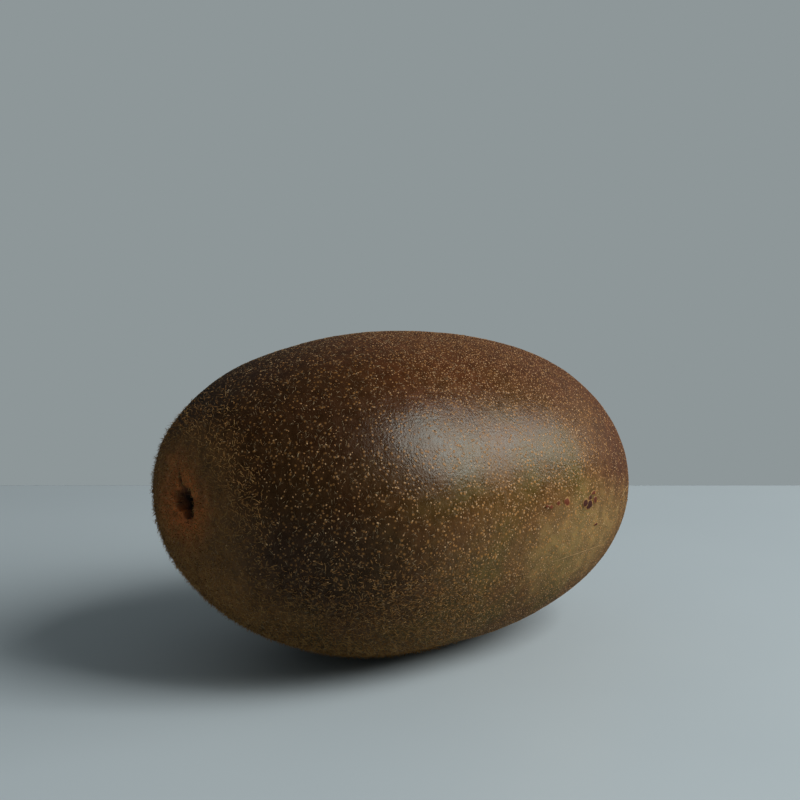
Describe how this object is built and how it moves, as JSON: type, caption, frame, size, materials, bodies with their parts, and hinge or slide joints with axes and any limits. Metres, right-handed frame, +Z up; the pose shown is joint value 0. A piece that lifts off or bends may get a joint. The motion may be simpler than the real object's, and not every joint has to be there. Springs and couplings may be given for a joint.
{
  "type": "kiwi fruit",
  "caption": "Whole oval kiwi fruit with a stalk scar in a shallow basin and a dry blossom nub, lying on its side on a small flat spot.",
  "frame": {"origin": "on the table, under the middle of the fruit's bounding box", "axes": "+X along the fruit from the stalk end to the blossom end, +Y across it, +Z up"},
  "size_m": [0.072, 0.05, 0.0443],
  "materials": {
    "skin": "satin olive-brown skin with tan flecks",
    "hair": "short dry golden-brown hairs",
    "scar": "dry dark corky tissue"
  },
  "bodies": {
    "root": {"kiwi_fruit": "skin"}
  },
  "joints": []
}
